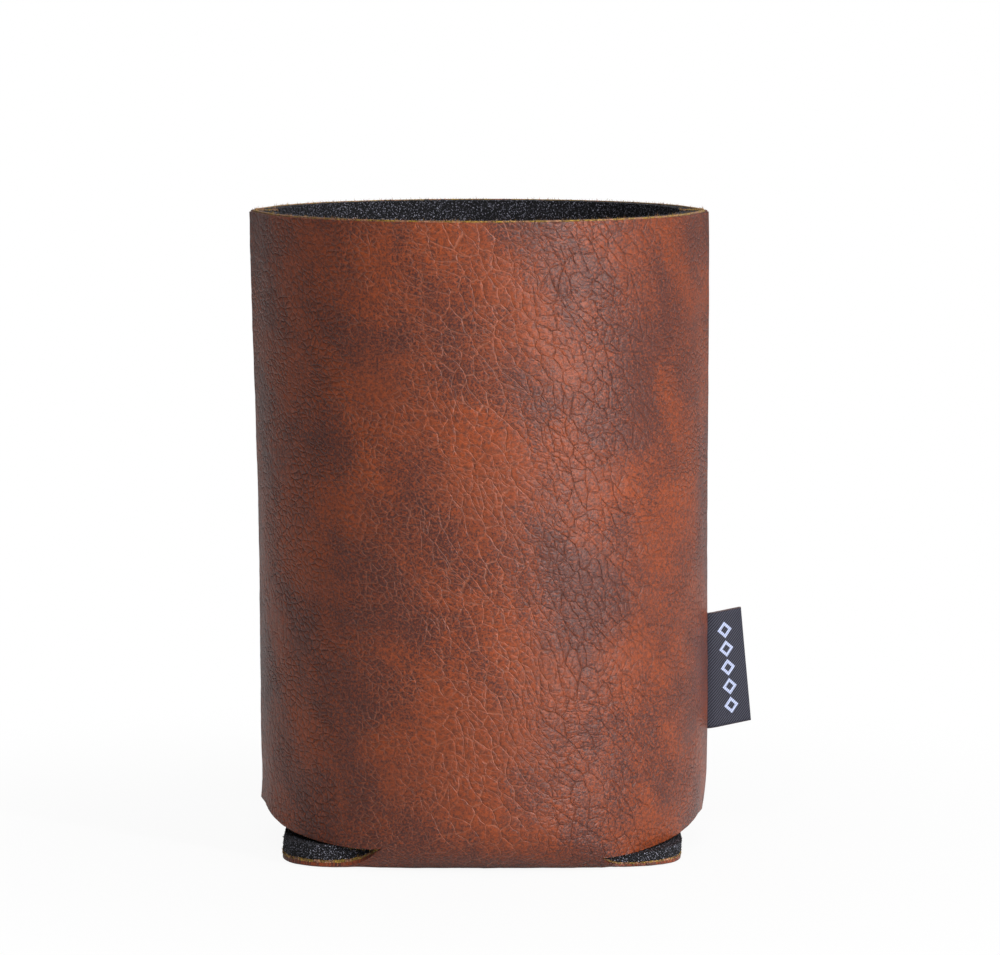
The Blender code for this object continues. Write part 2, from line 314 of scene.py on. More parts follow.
def side_of_panel(side, z_of_share, detail):
    """Columns of the front panel from just past the slit to the turned-in edge.

    z_of_share gives a column's heights from its share of the way from slit to seam.
    """
    slit = math.pi / 2 - SLIT_ANGLE[side]
    columns = []
    for step in range(1, detail.outer + 1):
        share = step / detail.outer
        z = z_of_share(share)
        angle = blend(slit, leave_angle(side, z), share)
        outward = stack(np.cos(angle), -np.sin(angle), 0 * z)
        behind = blend(slit, crease_angle(side, z), share)
        inward_face = INNER_RADIUS * stack(np.cos(behind), -np.sin(behind), 0 * z)
        columns.append((BODY_RADIUS * outward, outward, inward_face, z))
    z = z_of_share(1.0)
    half_gap = seam_half_gap(side, z)
    leave = leave_angle(side, z)
    centre = stack(corner_reach(z) - SHOULDER_RADIUS, -half_gap - SHOULDER_RADIUS, 0 * z)
    last = detail.shoulder + detail.flange
    foot_y = -half_gap - LAMINATE - CREASE_WIDTH / 2
    foot = stack(INNER_RADIUS + CREASE_DEPTH + 0 * z, foot_y, 0 * z)
    end = stack(TURNED_IN_X + 0 * z, -SEAM_HALF_GAP - LAMINATE, 0 * z)
    for step in range(detail.shoulder + 1):
        angle = blend(leave, -math.pi / 2, step / detail.shoulder)
        outward = stack(np.cos(angle), -np.sin(angle), 0 * z)
        point = centre + SHOULDER_RADIUS * outward
        columns.append((point, outward, blend(foot, end, step / last), z))
    seam_face = columns[-1][0]
    cut = stack(TURNED_IN_X + 0 * z, -SEAM_HALF_GAP, 0 * z)
    outward = stack(0 * z, 1 + 0 * z, 0 * z)
    for step in range(1, detail.flange + 1):
        behind = blend(foot, end, (detail.shoulder + step) / last)
        columns.append((blend(seam_face, cut, step / detail.flange), outward, behind, z))
    surface = as_surface(columns)
    surface.point = tucked(side, surface.point)
    surface.inside = tucked(side, surface.inside)
    return surface


def leave_angle(side, z):
    """Where the round of the panel straightens out towards the seam corner."""
    x = corner_reach(z) - SHOULDER_RADIUS
    y = seam_half_gap(side, z) + SHOULDER_RADIUS
    reach = np.maximum(np.hypot(x, y), BODY_RADIUS - SHOULDER_RADIUS)
    return np.arctan2(y, x) + np.arccos((BODY_RADIUS - SHOULDER_RADIUS) / reach)


def crease_angle(side, z):
    return np.arcsin((seam_half_gap(side, z) + LAMINATE + CREASE_WIDTH) / INNER_RADIUS)


def as_surface(columns):
    """Join columns into a surface whose pattern runs on across from the slit."""
    lift = [stack(0 * z, 0 * z, z) for *_, z in columns]
    point = np.stack([c[0] + up for c, up in zip(columns, lift)], axis=1)
    outward = np.stack([c[1] for c in columns], axis=1)
    inside = np.stack([c[2] + up for c, up in zip(columns, lift)], axis=1)
    across = np.zeros(point.shape[:2])
    run = np.linalg.norm(np.diff(point[:, :, :2], axis=1), axis=2)
    across[:, 1:] = np.cumsum(run, axis=1)
    across += BODY_RADIUS * np.arctan2(point[:, :1, 0], -point[:, :1, 1])
    along = HEIGHT - point[:, :, 2]
    return Surface(point, outward, inside, stack(across, along, 0 * along))


def centre_columns(detail):
    return np.linspace(-SLIT_ANGLE[LEFT], SLIT_ANGLE[RIGHT], detail.centre + 1)


def bend_radius(across):
    return BODY_RADIUS * np.cos(across) - STRAP_FLAT_HALF_DEPTH


def slit_turn(across):
    """How far round the bend the row that ends at both slits has come."""
    share = (across + SLIT_ANGLE[LEFT]) / (SLIT_ANGLE[LEFT] + SLIT_ANGLE[RIGHT])
    return blend(SLIT_TURN[LEFT], SLIT_TURN[RIGHT], smooth_step(share))


def bent(across, turn):
    """Surface between the slits where the front panel bends under into the strap."""
    across, turn = np.broadcast_arrays(across, turn)
    radius = bend_radius(across)
    point = stack(
        BODY_RADIUS * np.sin(across),
        -STRAP_FLAT_HALF_DEPTH - radius * np.cos(turn),
        radius * (1 - np.sin(turn)),
    )
    outward = stack(
        np.cos(turn) * np.sin(across), -np.cos(turn) * np.cos(across), -np.sin(turn)
    )
    along = HEIGHT - radius + (radius + PATTERN_BEND) * turn / (math.pi / 2)
    flat = stack(across * BODY_RADIUS, along, 0 * along)
    return Surface(point, outward, point - LAMINATE * outward, flat)


def underneath(x, y):
    """Surface of the strap where it lies flat on the ground."""
    x, y = np.broadcast_arrays(x, y)
    point = stack(x, y, 0 * y)
    outward = stack(0 * y, 0 * y, -1 + 0 * y)
    along = HEIGHT + PATTERN_BEND + STRAP_FLAT_HALF_DEPTH + y
    return Surface(point, outward, point - LAMINATE * outward, stack(x, along, 0 * y))


def edge_height(side, share):
    """Height of a panel's lower cut edge, from the slit's end at share 0 out to the seam."""
    radius = bend_radius(SLIT_ANGLE[side])
    slit_end = radius * (1 - math.sin(SLIT_TURN[side]))
    low = blend(EDGE_LOW[side], slit_end, math.exp(-share / SLIT_REACH))
    return low + EDGE_RISE[side] * share ** EDGE_CURVE[side]


def side_levels(side, detail):
    """For each share of the way from slit to seam, the heights of a column's points."""
    def levels(share):
        low = edge_height(side, share)
        wall = np.linspace(HEIGHT, low + EDGE_BAND, detail.wall + 1)
        band = np.linspace(low + EDGE_BAND, low, detail.band + 1)[1:]
        return np.concatenate([wall, band])
    return levels


def front_panel(detail):
    """Front panel from the rim to the lower cut edge, columns from left to right."""
    across = centre_columns(detail)[None, :]
    share = np.linspace(0, 1, detail.wall + 1)[:, None]
    z = blend(HEIGHT, bend_radius(across), share)
    outward = stack(np.sin(across), -np.cos(across), 0 * z)
    point = BODY_RADIUS * outward + stack(0 * z, 0 * z, z)
    flat = stack(across * BODY_RADIUS + 0 * z, HEIGHT - z, 0 * z)
    wall = Surface(point, outward, point - LAMINATE * outward, flat)
    turns = np.linspace(0, 1, detail.band + 1)[1:, None] * slit_turn(across)
    centre = above_each_other(wall, bent(across, turns))
    left = side_of_panel(LEFT, side_levels(LEFT, detail), detail).mirrored()
    right = side_of_panel(RIGHT, side_levels(RIGHT, detail), detail)
    return side_by_side(left, centre, right)


def ear_outline(side, detail):
    """Points (x, depth) of an ear's front edge, from near the slit round to its side."""
    radius = EAR_CORNER_RADIUS[side]
    corner_x = STRAP_END[side] - radius
    front = np.linspace(SLIT_X[side], corner_x, detail.ear_front + 1)[1:]
    turn = np.linspace(0, math.pi / 2, detail.ear_corner + 1)[1:]
    x = np.concatenate([front, corner_x + radius * np.sin(turn)])
    depth = EAR_HALF_DEPTH[side] - np.concatenate([0 * front, radius * (1 - np.cos(turn))])
    forward = EAR_FORWARD[side] * np.exp(-(x - SLIT_X[side]) / EAR_FORWARD_WIDTH[side])
    return x, depth + forward


def ear(side, detail):
    """Front half of an ear, drawn on the right; near the slit it lifts towards the bend."""
    x, depth = ear_outline(side, detail)
    front = np.linspace(1, 1 - EAR_FRONT_SHARE, detail.under + 1)
    rows = np.concatenate([front, np.linspace(front[-1], 0, detail.flat + 1)[1:]])
    ground = underneath(x[None, :], -rows[:, None] * depth[None, :])
    turns = np.linspace(SLIT_TURN[side], math.pi / 2, detail.under + 1)[:, None]
    flat_y = np.linspace(-STRAP_FLAT_HALF_DEPTH, 0, detail.flat + 1)[1:, None]
    slit = np.array([[SLIT_ANGLE[side]]])
    lifted = above_each_other(bent(slit, turns), underneath(SLIT_X[side], flat_y))
    shift = stack(x[None, :] - SLIT_X[side], 0, 0)
    held = np.exp(-(((x - SLIT_X[side]) / EAR_LIFT_WIDTH[side]) ** EAR_LIFT_CURVE))[None, :, None]
    point = blend(ground.point, lifted.point + shift, held)
    outward = blend(ground.outward, lifted.outward, held)
    outward = outward / np.linalg.norm(outward, axis=-1, keepdims=True)
    flat = blend(ground.flat, lifted.flat + shift, held)
    inside = point - squeezed(side, x, rows)[:, :, None] * outward
    point[:, :, 2] += edge_rounding(side, x, depth, rows) * (1 - held[:, :, 0])
    return Surface(point, (point - inside) / LAMINATE, inside, flat)


def squeezed(side, x, rows):
    """Thickness of an ear, pressed thin in front where the panel's edge stands on it."""
    angle = np.arcsin(np.minimum(x / BODY_RADIUS, 1))
    share = np.clip((angle - SLIT_ANGLE[side]) / (math.pi / 2 - SLIT_ANGLE[side]), 0, 1)
    height = np.array([edge_height(side, float(s)) for s in share])
    pressed = np.clip(height, EAR_THINNEST_SHARE * LAMINATE, LAMINATE)[None, :]
    spring = smooth_step((1 - rows - EAR_PRESSED_SHARE) / EAR_SPRING_SHARE)
    return blend(pressed, LAMINATE, spring[:, None])


def edge_rounding(side, x, depth, rows):
    """How far the skin is pulled up near the cut edge of an ear."""
    from_front = depth[None, :] * (1 - rows[:, None])
    from_end = STRAP_END[side] - x[None, :] + 0 * from_front
    from_edge = np.minimum(from_front, from_end)
    return EAR_ROUNDING * np.clip(1 - from_edge / EAR_ROUNDING_WIDTH, 0, 1) ** 2


def strap(detail):
    """Front half of the strap with its ears, from the slits' row to the middle."""
    across = centre_columns(detail)[None, :]
    share = np.linspace(0, 1, detail.under + 1)[:, None]
    under = bent(across, blend(slit_turn(across), math.pi / 2, share))
    y = np.linspace(-STRAP_FLAT_HALF_DEPTH, 0, detail.flat + 1)[1:, None]
    middle = underneath(BODY_RADIUS * np.sin(across), y)
    centre = above_each_other(under, middle)
    return side_by_side(ear(LEFT, detail).mirrored(), centre, ear(RIGHT, detail))


class MeshData:
    """Vertices and faces gathered before they become one mesh."""

    def __init__(self):
        self.points, self.flats, self.outer, self.faces, self.count = [], [], [], [], 0

    def add_grid(self, points, flat, is_outer):
        """Add a grid's points and return their numbers."""
        rows, columns = points.shape[:2]
        numbers = np.arange(rows * columns).reshape(rows, columns) + self.count
        self.points.append(points.reshape(-1, 3))
        self.flats.append(flat.reshape(-1, 3))
        self.outer.append(np.full(rows * columns, 1.0 if is_outer else 0.0))
        self.count += rows * columns
        return numbers

    def add_quads(self, numbers, flipped):
        a, b = numbers[:-1, :-1], numbers[1:, :-1]
        c, d = numbers[1:, 1:], numbers[:-1, 1:]
        order = (a, d, c, b) if flipped else (a, b, c, d)
        self.faces += np.stack(order, axis=-1).reshape(-1, 4).tolist()

    def add_strip(self, outer_line, inner_line, stride, flipped):
        """Close a cut edge between an outer line and an inner line with one point per stride."""
        for k in range(len(inner_line) - 1):
            face = list(outer_line[k * stride:(k + 1) * stride + 1])
            face += [inner_line[k + 1], inner_line[k]]
            self.faces.append([int(n) for n in (face[::-1] if flipped else face)])


def half_flip(is_back):
    """What turns a point of the front half into its twin on the chosen half."""
    return np.array([1.0, -1.0 if is_back else 1.0, 1.0])


class Layer:
    """One layer of the blank, between two depths under the outer face."""

    def __init__(self, outer_depth, inner_depth, cell, stride, fuzz=None):
        detail = Detail(cell)
        self.outer_depth, self.inner_depth = outer_depth, inner_depth
        self.panel, self.base = front_panel(detail), strap(detail)
        self.stride, self.fuzz = stride, fuzz
        self.centre = detail.centre
        self.sides = (self.panel.shape[1] - detail.centre - 1) // 2
        self.ears = (self.base.shape[1] - detail.centre - 1) // 2

    def add_face(self, data, is_outer, is_back):
        """Add one face of a half; return the numbers of its points on panel and base."""
        depth = self.outer_depth if is_outer else self.inner_depth
        step = 1 if is_outer else self.stride
        grids = []
        for surface in (self.panel, self.base):
            points = surface.at_depth(depth) * half_flip(is_back)
            if self.fuzz and surface is self.panel:
                points[0, :, 2] += self.fuzz["stand"]
            flat = surface.flat.copy()
            if is_back:
                flat[:, :, 1] = 2 * PATTERN_MIDDLE - flat[:, :, 1]
            grids.append(data.add_grid(points[::step, ::step], flat[::step, ::step], is_outer))
        panel, base = grids
        side, ear, between = self.sides // step, self.ears // step, self.centre // step + 1
        base[0, ear:ear + between] = panel[-1, side:side + between]
        for grid in grids:
            data.add_quads(grid, is_back == is_outer)
        return grids

    def close_edges(self, data, outer, inner, is_back):
        """Close every free edge of a half between its outer and its inner face."""
        (panel_out, base_out), (panel_in, base_in) = outer, inner
        stride = self.stride
        left, right = self.sides, self.sides + self.centre
        ear_left, ear_right = self.ears, self.ears + self.centre
        cuts = [
            (panel_out[0], panel_in[0], False),
            (panel_out[:, 0], panel_in[:, 0], True),
            (panel_out[:, -1], panel_in[:, -1], False),
            (panel_out[-1, :left + 1], panel_in[-1, :left // stride + 1], True),
            (panel_out[-1, right:], panel_in[-1, right // stride:], True),
            (base_out[0, :ear_left + 1], base_in[0, :ear_left // stride + 1], False),
            (base_out[0, ear_right:], base_in[0, ear_right // stride:], False),
            (base_out[:, 0], base_in[:, 0], True),
            (base_out[:, -1], base_in[:, -1], False),
        ]
        for outer_line, inner_line, flipped in cuts:
            data.add_strip(outer_line, inner_line, stride, flipped != is_back)

    def cut_lines(self):
        """Free edges of the front half: a surface, an edge's places in it and the row behind."""
        every = slice(None)
        left, right = slice(0, self.sides + 1), slice(self.sides + self.centre, None)
        ear_left, ear_right = slice(0, self.ears + 1), slice(self.ears + self.centre, None)
        return [
            (self.panel, (0, every), (1, every)),
            (self.panel, (-1, left), (-2, left)),
            (self.panel, (-1, right), (-2, right)),
            (self.base, (0, ear_left), (1, ear_left)),
            (self.base, (0, ear_right), (1, ear_right)),
            (self.base, (every, 0), (every, 1)),
            (self.base, (every, -1), (every, -2)),
        ]

    def add_fibres(self, data, is_back, chance):
        """Short loose fibres that stand out of the cut edges of a half."""
        flip = half_flip(is_back)
        for surface, edge, behind in self.cut_lines():
            outer = surface.at_depth(self.outer_depth)[edge] * flip
            inner = surface.at_depth(self.inner_depth)[edge] * flip
            away = outer - surface.at_depth(self.outer_depth)[behind] * flip
            away /= np.linalg.norm(away, axis=-1, keepdims=True) + 1e-9
            add_tufts(data, outer, inner, away, self.fuzz, chance)


def add_tufts(data, outer, inner, away, fuzz, chance):
    """Fibres as closed slivers along one edge, between its outer and its inner line."""
    length = np.linalg.norm(np.diff(outer, axis=0), axis=1).sum()
    count = int(length / MM * fuzz["per_mm"])
    spot = chance.uniform(0, len(outer) - 1.001, count)
    whole, rest = spot.astype(int), (spot % 1)[:, None]
    depth = chance.uniform(0.05, 0.95, (count, 1))
    first = blend(outer[whole], inner[whole], depth)
    second = blend(outer[whole + 1], inner[whole + 1], depth)
    root = blend(first, second, rest) - away[whole] * FIBRE_SINK
    lean = chance.normal(0, FIBRE_SPREAD, (count, 3))
    fibre = fuzz["length"] * chance.uniform(0.3, 1.0, (count, 1)) * (away[whole] + lean)
    wide = np.cross(fibre, chance.normal(0, 1, (count, 3)))
    wide *= fuzz["width"] / 2 / np.linalg.norm(wide, axis=1, keepdims=True)
    deep = np.cross(fibre / np.linalg.norm(fibre, axis=1, keepdims=True), wide)
    corners = np.stack([root - wide, root + wide, root + deep, root + fibre], axis=1)
    start = data.count
    data.add_grid(corners, 0 * corners, False)
    for face in ((0, 2, 1), (0, 1, 3), (1, 2, 3), (2, 0, 3)):
        data.faces += (start + 4 * np.arange(count)[:, None] + np.array(face)).tolist()


def laminate_mesh(name, layer):
    """One layer of the whole blank as a closed mesh, finer on its outer face than inside."""
    data = MeshData()
    chance = np.random.default_rng(FIBRE_SEED)
    for is_back in (False, True):
        outer = layer.add_face(data, True, is_back)
        inner = layer.add_face(data, False, is_back)
        layer.close_edges(data, outer, inner, is_back)
        if layer.fuzz:
            layer.add_fibres(data, is_back, chance)
    return finished_mesh(name, data)


def leaning(points):
    """Shift points sideways, because the tube leans over its strap."""
    z = points[:, 2]
    share = (1 - LEAN_LOSS * (z / HEIGHT) ** 2) * smooth_step(z / LEAN_FOOT)
    return points + np.outer(LEAN * share, [1, 0, 0])


def finished_mesh(name, data):
    mesh = bpy.data.meshes.new(name)
    mesh.from_pydata(leaning(np.concatenate(data.points)).tolist(), [], data.faces)
    flat = mesh.attributes.new("flat", "FLOAT_VECTOR", "POINT")
    flat.data.foreach_set("vector", (np.concatenate(data.flats) / MM).astype(np.float32).ravel())
    outer = mesh.attributes.new("outer", "FLOAT", "POINT")
    outer.data.foreach_set("value", np.concatenate(data.outer).astype(np.float32))
    weld_middle(mesh)
    return mesh


def weld_middle(mesh):
    """Join the front and back halves in the middle of the strap and drop unused points."""
    work = bmesh.new()
    work.from_mesh(mesh)
    near = [v for v in work.verts if abs(v.co.y) < WELD_DISTANCE and v.co.z < WELD_HEIGHT]
    bmesh.ops.remove_doubles(work, verts=near, dist=WELD_DISTANCE)
    loose = [v for v in work.verts if not v.link_faces]
    bmesh.ops.delete(work, geom=loose, context="VERTS")
    work.to_mesh(mesh)
    work.free()


def new_piece(name, mesh, surface):
    mesh.materials.append(surface)
    mesh.shade_smooth()
    mesh.set_sharp_from_angle(angle=SHARP_ANGLE)
    piece = bpy.data.objects.new(name, mesh)
    bpy.context.scene.collection.objects.link(piece)
    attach(piece, "root")
    return piece


class Nodes:
    """Short calls for the nodes that shaders and geometry trees share."""

    def __init__(self, tree):
        self.tree = tree

    def make(self, kind, fed=None, **settings):
        """A new node with the given settings, and values for inputs by their name or place."""
        made = self.tree.nodes.new(kind)
        for key, value in settings.items():
            setattr(made, key, value)
        for key, value in (fed or {}).items():
            self.feed(made.inputs[key], value)
        return made

    def feed(self, socket, value):
        """Link an output to a socket, or set the socket; colours come without an alpha."""
        if isinstance(value, bpy.types.NodeSocket):
            self.tree.links.new(value, socket)
        elif socket.type == "RGBA":
            socket.default_value = (*value, 1)
        else:
            socket.default_value = value

    def attribute(self, name, is_vector=False):
        if self.tree.bl_idname == "ShaderNodeTree":
            made = self.make("ShaderNodeAttribute", attribute_name=name)
            return made.outputs["Vector" if is_vector else "Fac"]
        kind = "FLOAT_VECTOR" if is_vector else "FLOAT"
        return self.make("GeometryNodeInputNamedAttribute", {0: name}, data_type=kind).outputs[0]

    def math(self, operation, first, second=0.0):
        fed = {0: first, 1: second}
        return self.make("ShaderNodeMath", fed, operation=operation).outputs[0]

    def add(self, first, *others):
        for other in others:
            first = self.math("ADD", first, other)
        return first

    def less(self, first, second):
        return self.math("SUBTRACT", first, second)

    def times(self, first, *others):
        for other in others:
            first = self.math("MULTIPLY", first, other)
        return first

    def vector(self, operation, first, second):
        fed = {0: first, 1: second}
        return self.make("ShaderNodeVectorMath", fed, operation=operation).outputs[0]

    def scaled(self, vector, scale):
        fed = {0: vector, "Scale": scale}
        return self.make("ShaderNodeVectorMath", fed, operation="SCALE").outputs[0]

    def turned(self, coords, degrees, stretch):
        """Coordinates turned about Z, then scaled along their own axes."""
        fed = {"Vector": coords, "Angle": math.radians(degrees)}
        made = self.make("ShaderNodeVectorRotate", fed, rotation_type="Z_AXIS")
        return self.vector("MULTIPLY", made.outputs[0], stretch)

    def noise(self, coords, size, detail=2.0, roughness=0.5):
        """Soft noise with features of about the given size; its value and its colour."""
        fed = {"Vector": coords, "Scale": 1 / size, "Detail": detail, "Roughness": roughness}
        made = self.make("ShaderNodeTexNoise", fed, noise_dimensions="3D")
        return made.outputs[0], made.outputs[1]

    def wobbled(self, coords, size, reach, detail=1.0):
        """Coordinates pushed about by up to the given reach."""
        colour = self.noise(coords, size, detail)[1]
        centred = self.vector("SUBTRACT", colour, (0.5, 0.5, 0.5))
        return self.vector("ADD", coords, self.scaled(centred, 2 * reach))

    def cell_edge(self, coords, size):
        """Distance to the nearest border of irregular cells of about the given size."""
        kind = {"feature": "DISTANCE_TO_EDGE", "voronoi_dimensions": "2D"}
        made = self.make("ShaderNodeTexVoronoi", {"Vector": coords, "Scale": 1 / size}, **kind)
        return self.times(made.outputs["Distance"], size)

    def ramp(self, value, low, high, start=0.0, end=1.0):
        """Smooth step from start to end while the value goes from low to high."""
        fed = dict(enumerate((value, low, high, start, end)))
        return self.make("ShaderNodeMapRange", fed, interpolation_type="SMOOTHSTEP").outputs[0]

    def mix(self, share, first, second):
        fed = {0: share, 6: first, 7: second}
        return self.make("ShaderNodeMix", fed, data_type="RGBA").outputs[2]

    def part(self, vector, axis):
        return self.make("ShaderNodeSeparateXYZ", {0: vector}).outputs[axis]

    def place(self):
        """Where a point is on its piece, in millimetres."""
        return self.scaled(self.make("ShaderNodeTexCoord").outputs["Object"], 1 / MM)


def new_shader(name, roughness, specular=0.5, sheen=0.0):
    made = bpy.data.materials.new(name)
    made.use_nodes = True
    shader = made.node_tree.nodes["Principled BSDF"]
    shader.inputs["Roughness"].default_value = roughness
    shader.inputs["Specular IOR Level"].default_value = specular
    shader.inputs["Sheen Weight"].default_value = sheen
    shader.inputs["Sheen Roughness"].default_value = 0.5
    return made, Nodes(made.node_tree), shader


def coat(nodes, shader, colour, height):
    """Give a shader its colour, and its bump from a height in millimetres."""
    nodes.feed(shader.inputs["Base Color"], colour)
    bump = nodes.make("ShaderNodeBump", {"Strength": 1.0, "Distance": MM, "Height": height})
    nodes.feed(shader.inputs["Normal"], bump.outputs[0])


def skin_grain(nodes, flat):
    """Grain of the skin: its broad and fine heights in millimetres, and where its creases are."""
    across = nodes.part(flat, 0)
    loose = nodes.wobbled(nodes.wobbled(flat, 14.0, 3.0), 2.0, 0.55, 2.0)
    from_fold = nodes.math("ABSOLUTE", nodes.less(across, CREASED_X))
    near_fold = nodes.ramp(from_fold, 12.0, 32.0, 1.0, 0.10)
    near_fold = nodes.math("MAXIMUM", near_fold, nodes.ramp(across, -46.0, -32.0, 1.0, 0.0))
    drawn = nodes.ramp(nodes.noise(flat, 6.0)[0], 0.32, 0.56, 0.50, 1.0)
    broken = nodes.ramp(nodes.noise(flat, 1.3, 1.0)[0], 0.34, 0.52, 0.40, 1.0)
    folds = nodes.cell_edge(nodes.turned(loose, -56, (0.55, 1.0, 1.0)), FOLD_CELL)
    fold_show = nodes.times(near_fold, drawn)
    fold_line = nodes.times(nodes.ramp(folds, 0.0, 0.13, 1.0, 0.0), fold_show, broken)
    fold_pillow = nodes.times(nodes.ramp(folds, 0.0, 0.60), fold_show)

    at_sides = nodes.ramp(from_fold, 14.0, 40.0, 0.75, 1.6)
    calm = nodes.noise(nodes.vector("ADD", flat, (40, 9, 0)), 9.0)[0]
    small_show = nodes.times(at_sides, nodes.ramp(calm, 0.36, 0.58, 0.30, 1.0))
    small = nodes.cell_edge(nodes.turned(loose, -14, (0.66, 1.0, 1.0)), SMALL_CELL)
    small_line = nodes.times(nodes.ramp(small, 0.0, 0.11, 1.0, 0.0), small_show, broken)
    small_pillow = nodes.times(nodes.ramp(small, 0.0, 0.36), small_show)

    pebble = nodes.noise(flat, PEBBLE_SIZE, 3.0, 0.65)[0]
    swell = nodes.times(nodes.noise(flat, SWELL_SIZE, 1.0)[0], SWELL_HEIGHT)
    broad = nodes.add(swell, nodes.times(fold_pillow, FOLD_PILLOW_SWELL))
    fine = nodes.add(
        nodes.times(fold_line, -FOLD_LINE_DEPTH),
        nodes.times(fold_pillow, FOLD_PILLOW_HEIGHT),
        nodes.times(small_line, -SMALL_LINE_DEPTH),
        nodes.times(small_pillow, SMALL_PILLOW_HEIGHT),
        nodes.times(pebble, PEBBLE_HEIGHT),
    )
    return broad, fine, nodes.math("MAXIMUM", fold_line, nodes.times(small_line, 0.7))


def leatherette():
    made, nodes, shader = new_shader("distressed leatherette", roughness=0.36, specular=0.31)
    flat = nodes.attribute("flat", is_vector=True)
    _, relief, crease = skin_grain(nodes, flat)

    diagonal = nodes.turned(nodes.wobbled(flat, 11.0, 5.0, 2.0), -50, (0.62, 1.0, 1.0))
    cloud = nodes.noise(diagonal, 16.0, 4.0, 0.60)[0]
    amount = nodes.ramp(cloud, 0.32, 0.64)
    speck = nodes.noise(flat, 0.38, 3.0, 0.72)[0]
    threshold = nodes.less(0.63, nodes.times(amount, 0.17))
    dark = nodes.ramp(nodes.less(speck, threshold), -0.05, 0.06)
    tone = nodes.noise(nodes.vector("ADD", flat, (0, 70, 0)), 24.0, 2.0)[0]
    warm = nodes.mix(nodes.ramp(tone, 0.35, 0.65), WARM_TAN, WARM_BROWN)
    fine = nodes.noise(flat, 0.70, 2.0, 0.75)[0]
    warm = nodes.mix(nodes.ramp(fine, 0.34, 0.62, 0.85, 0.0), warm, GRAIN_BROWN)
    aged = nodes.mix(nodes.times(amount, 0.24), warm, AGED_BROWN)
    speckled = nodes.mix(nodes.times(dark, 0.85), aged, SPECK_BROWN)
    # share of painted highlight, rather than painted shade, in the crease lines
    from_painted_highlight = nodes.math("ABSOLUTE", nodes.less(nodes.part(flat, 0), PAINTED_HIGHLIGHT_X))
    painted_highlight_share = nodes.ramp(from_painted_highlight, 9.0, 22.0, 0.85, 0.0)
    painted_crease_light = nodes.mix(painted_highlight_share, CREASE_PAINTED_SHADE, CREASE_PAINTED_HIGHLIGHT)
    # crease lines darkened as painted shade, and made pale as a painted highlight near the left of
    # the front
    shaded = nodes.mix(nodes.times(crease, 0.58), speckled, painted_crease_light)
    coat(nodes, shader, shaded, relief)
    return made


def cut_cloth():
    made, nodes, shader = new_shader("ochre backing cloth", roughness=0.9, specular=0.2, sheen=0.2)
    place = nodes.place()
    tuft = nodes.noise(place, 0.35, 3.0, 0.8)[0]
    stain = nodes.noise(place, 1.4, 2.0, 0.6)[0]
    yarn = nodes.mix(nodes.ramp(stain, 0.42, 0.62), YARN_OCHRE, YARN_STAINED)
    colour = nodes.mix(nodes.ramp(tuft, 0.36, 0.60), YARN_SHADE, yarn)
    coat(nodes, shader, colour, nodes.times(tuft, 0.35))
    return made


def open_foam():
    made, nodes, shader = new_shader("open cell foam", roughness=0.85, specular=0.25)
    place = nodes.place()
    fed = {"Vector": nodes.wobbled(place, 0.5, 0.15), "Scale": 1 / FOAM_PORE}
    cells = nodes.make("ShaderNodeTexVoronoi", fed, feature="F1")
    wall = nodes.ramp(cells.outputs["Distance"], 0.15, 0.50, 1.0, 0.0)
    grit = nodes.noise(place, FOAM_GRIT, 2.0, 0.7)[0]
    speck = nodes.times(wall, nodes.ramp(grit, 0.42, 0.58))
    colour = nodes.mix(speck, FOAM_BLACK, FOAM_GLINT)
    coat(nodes, shader, colour, nodes.times(nodes.add(wall, grit), 0.22))
    return made


def woven_ribbon():
    made, nodes, shader = new_shader("woven ribbon", roughness=0.60, specular=0.18, sheen=0.03)
    flat = nodes.attribute("flat", is_vector=True)
    out, up = nodes.part(flat, 0), nodes.part(flat, 1)
    diagonal = nodes.part(nodes.turned(flat, 48, (1, 1, 1)), 0)
    rib = nodes.math("PINGPONG", diagonal, RIBBON_TWILL / MM / 2)
    rib = nodes.times(rib, 2 * MM / RIBBON_TWILL)
    pick = nodes.math("PINGPONG", up, RIBBON_PICK / MM / 2)
    weave = nodes.add(rib, nodes.times(pick, 4.0))
    thread = nodes.noise(nodes.vector("MULTIPLY", flat, (1, 4, 1)), 0.5, 2.0, 0.7)[0]
    dark = nodes.mix(nodes.ramp(weave, 0.25, 1.0), RIBBON_BLACK, RIBBON_RIB)
    dark = nodes.mix(nodes.ramp(thread, 0.60, 0.75, 0.0, 0.25), dark, RIBBON_WORN)
    pattern = lozenges(nodes, out, up, thread)
    pale = nodes.mix(nodes.ramp(weave, 0.2, 0.8), LOZENGE_SHADE, LOZENGE_PALE)
    colour = nodes.mix(pattern, dark, pale)
    half_height = LABEL_HEIGHT / MM / 2
    edge = nodes.ramp(nodes.math("ABSOLUTE", up), half_height - 0.10, half_height - 0.01)
    colour = nodes.mix(nodes.times(edge, 0.35), colour, RIBBON_EDGE)
    raised = nodes.add(nodes.times(weave, 0.035), nodes.times(pattern, 0.03))
    coat(nodes, shader, colour, raised)
    return made


def lozenges(nodes, out, up, thread):
    """A plain woven border of small lozenges down the label."""
    along = nodes.math("PINGPONG", up, LOZENGE_LENGTH / MM / 2)
    along = nodes.times(along, 2 * MM / LOZENGE_LENGTH)
    sideways = nodes.math("ABSOLUTE", nodes.less(out, LOZENGE_OUT / MM))
    sideways = nodes.times(sideways, 2 * MM / LOZENGE_WIDTH)
    inside = nodes.less(1.0, nodes.add(along, sideways, nodes.times(thread, 0.10)))
    filled = nodes.ramp(inside, 0.04, 0.10)
    hollow = nodes.ramp(inside, 0.46, 0.52)
    end = LOZENGE_COUNT * LOZENGE_LENGTH / MM / 2
    run = nodes.ramp(nodes.math("ABSOLUTE", up), end - 0.05, end, 1.0, 0.0)
    return nodes.times(nodes.less(filled, hollow), run)


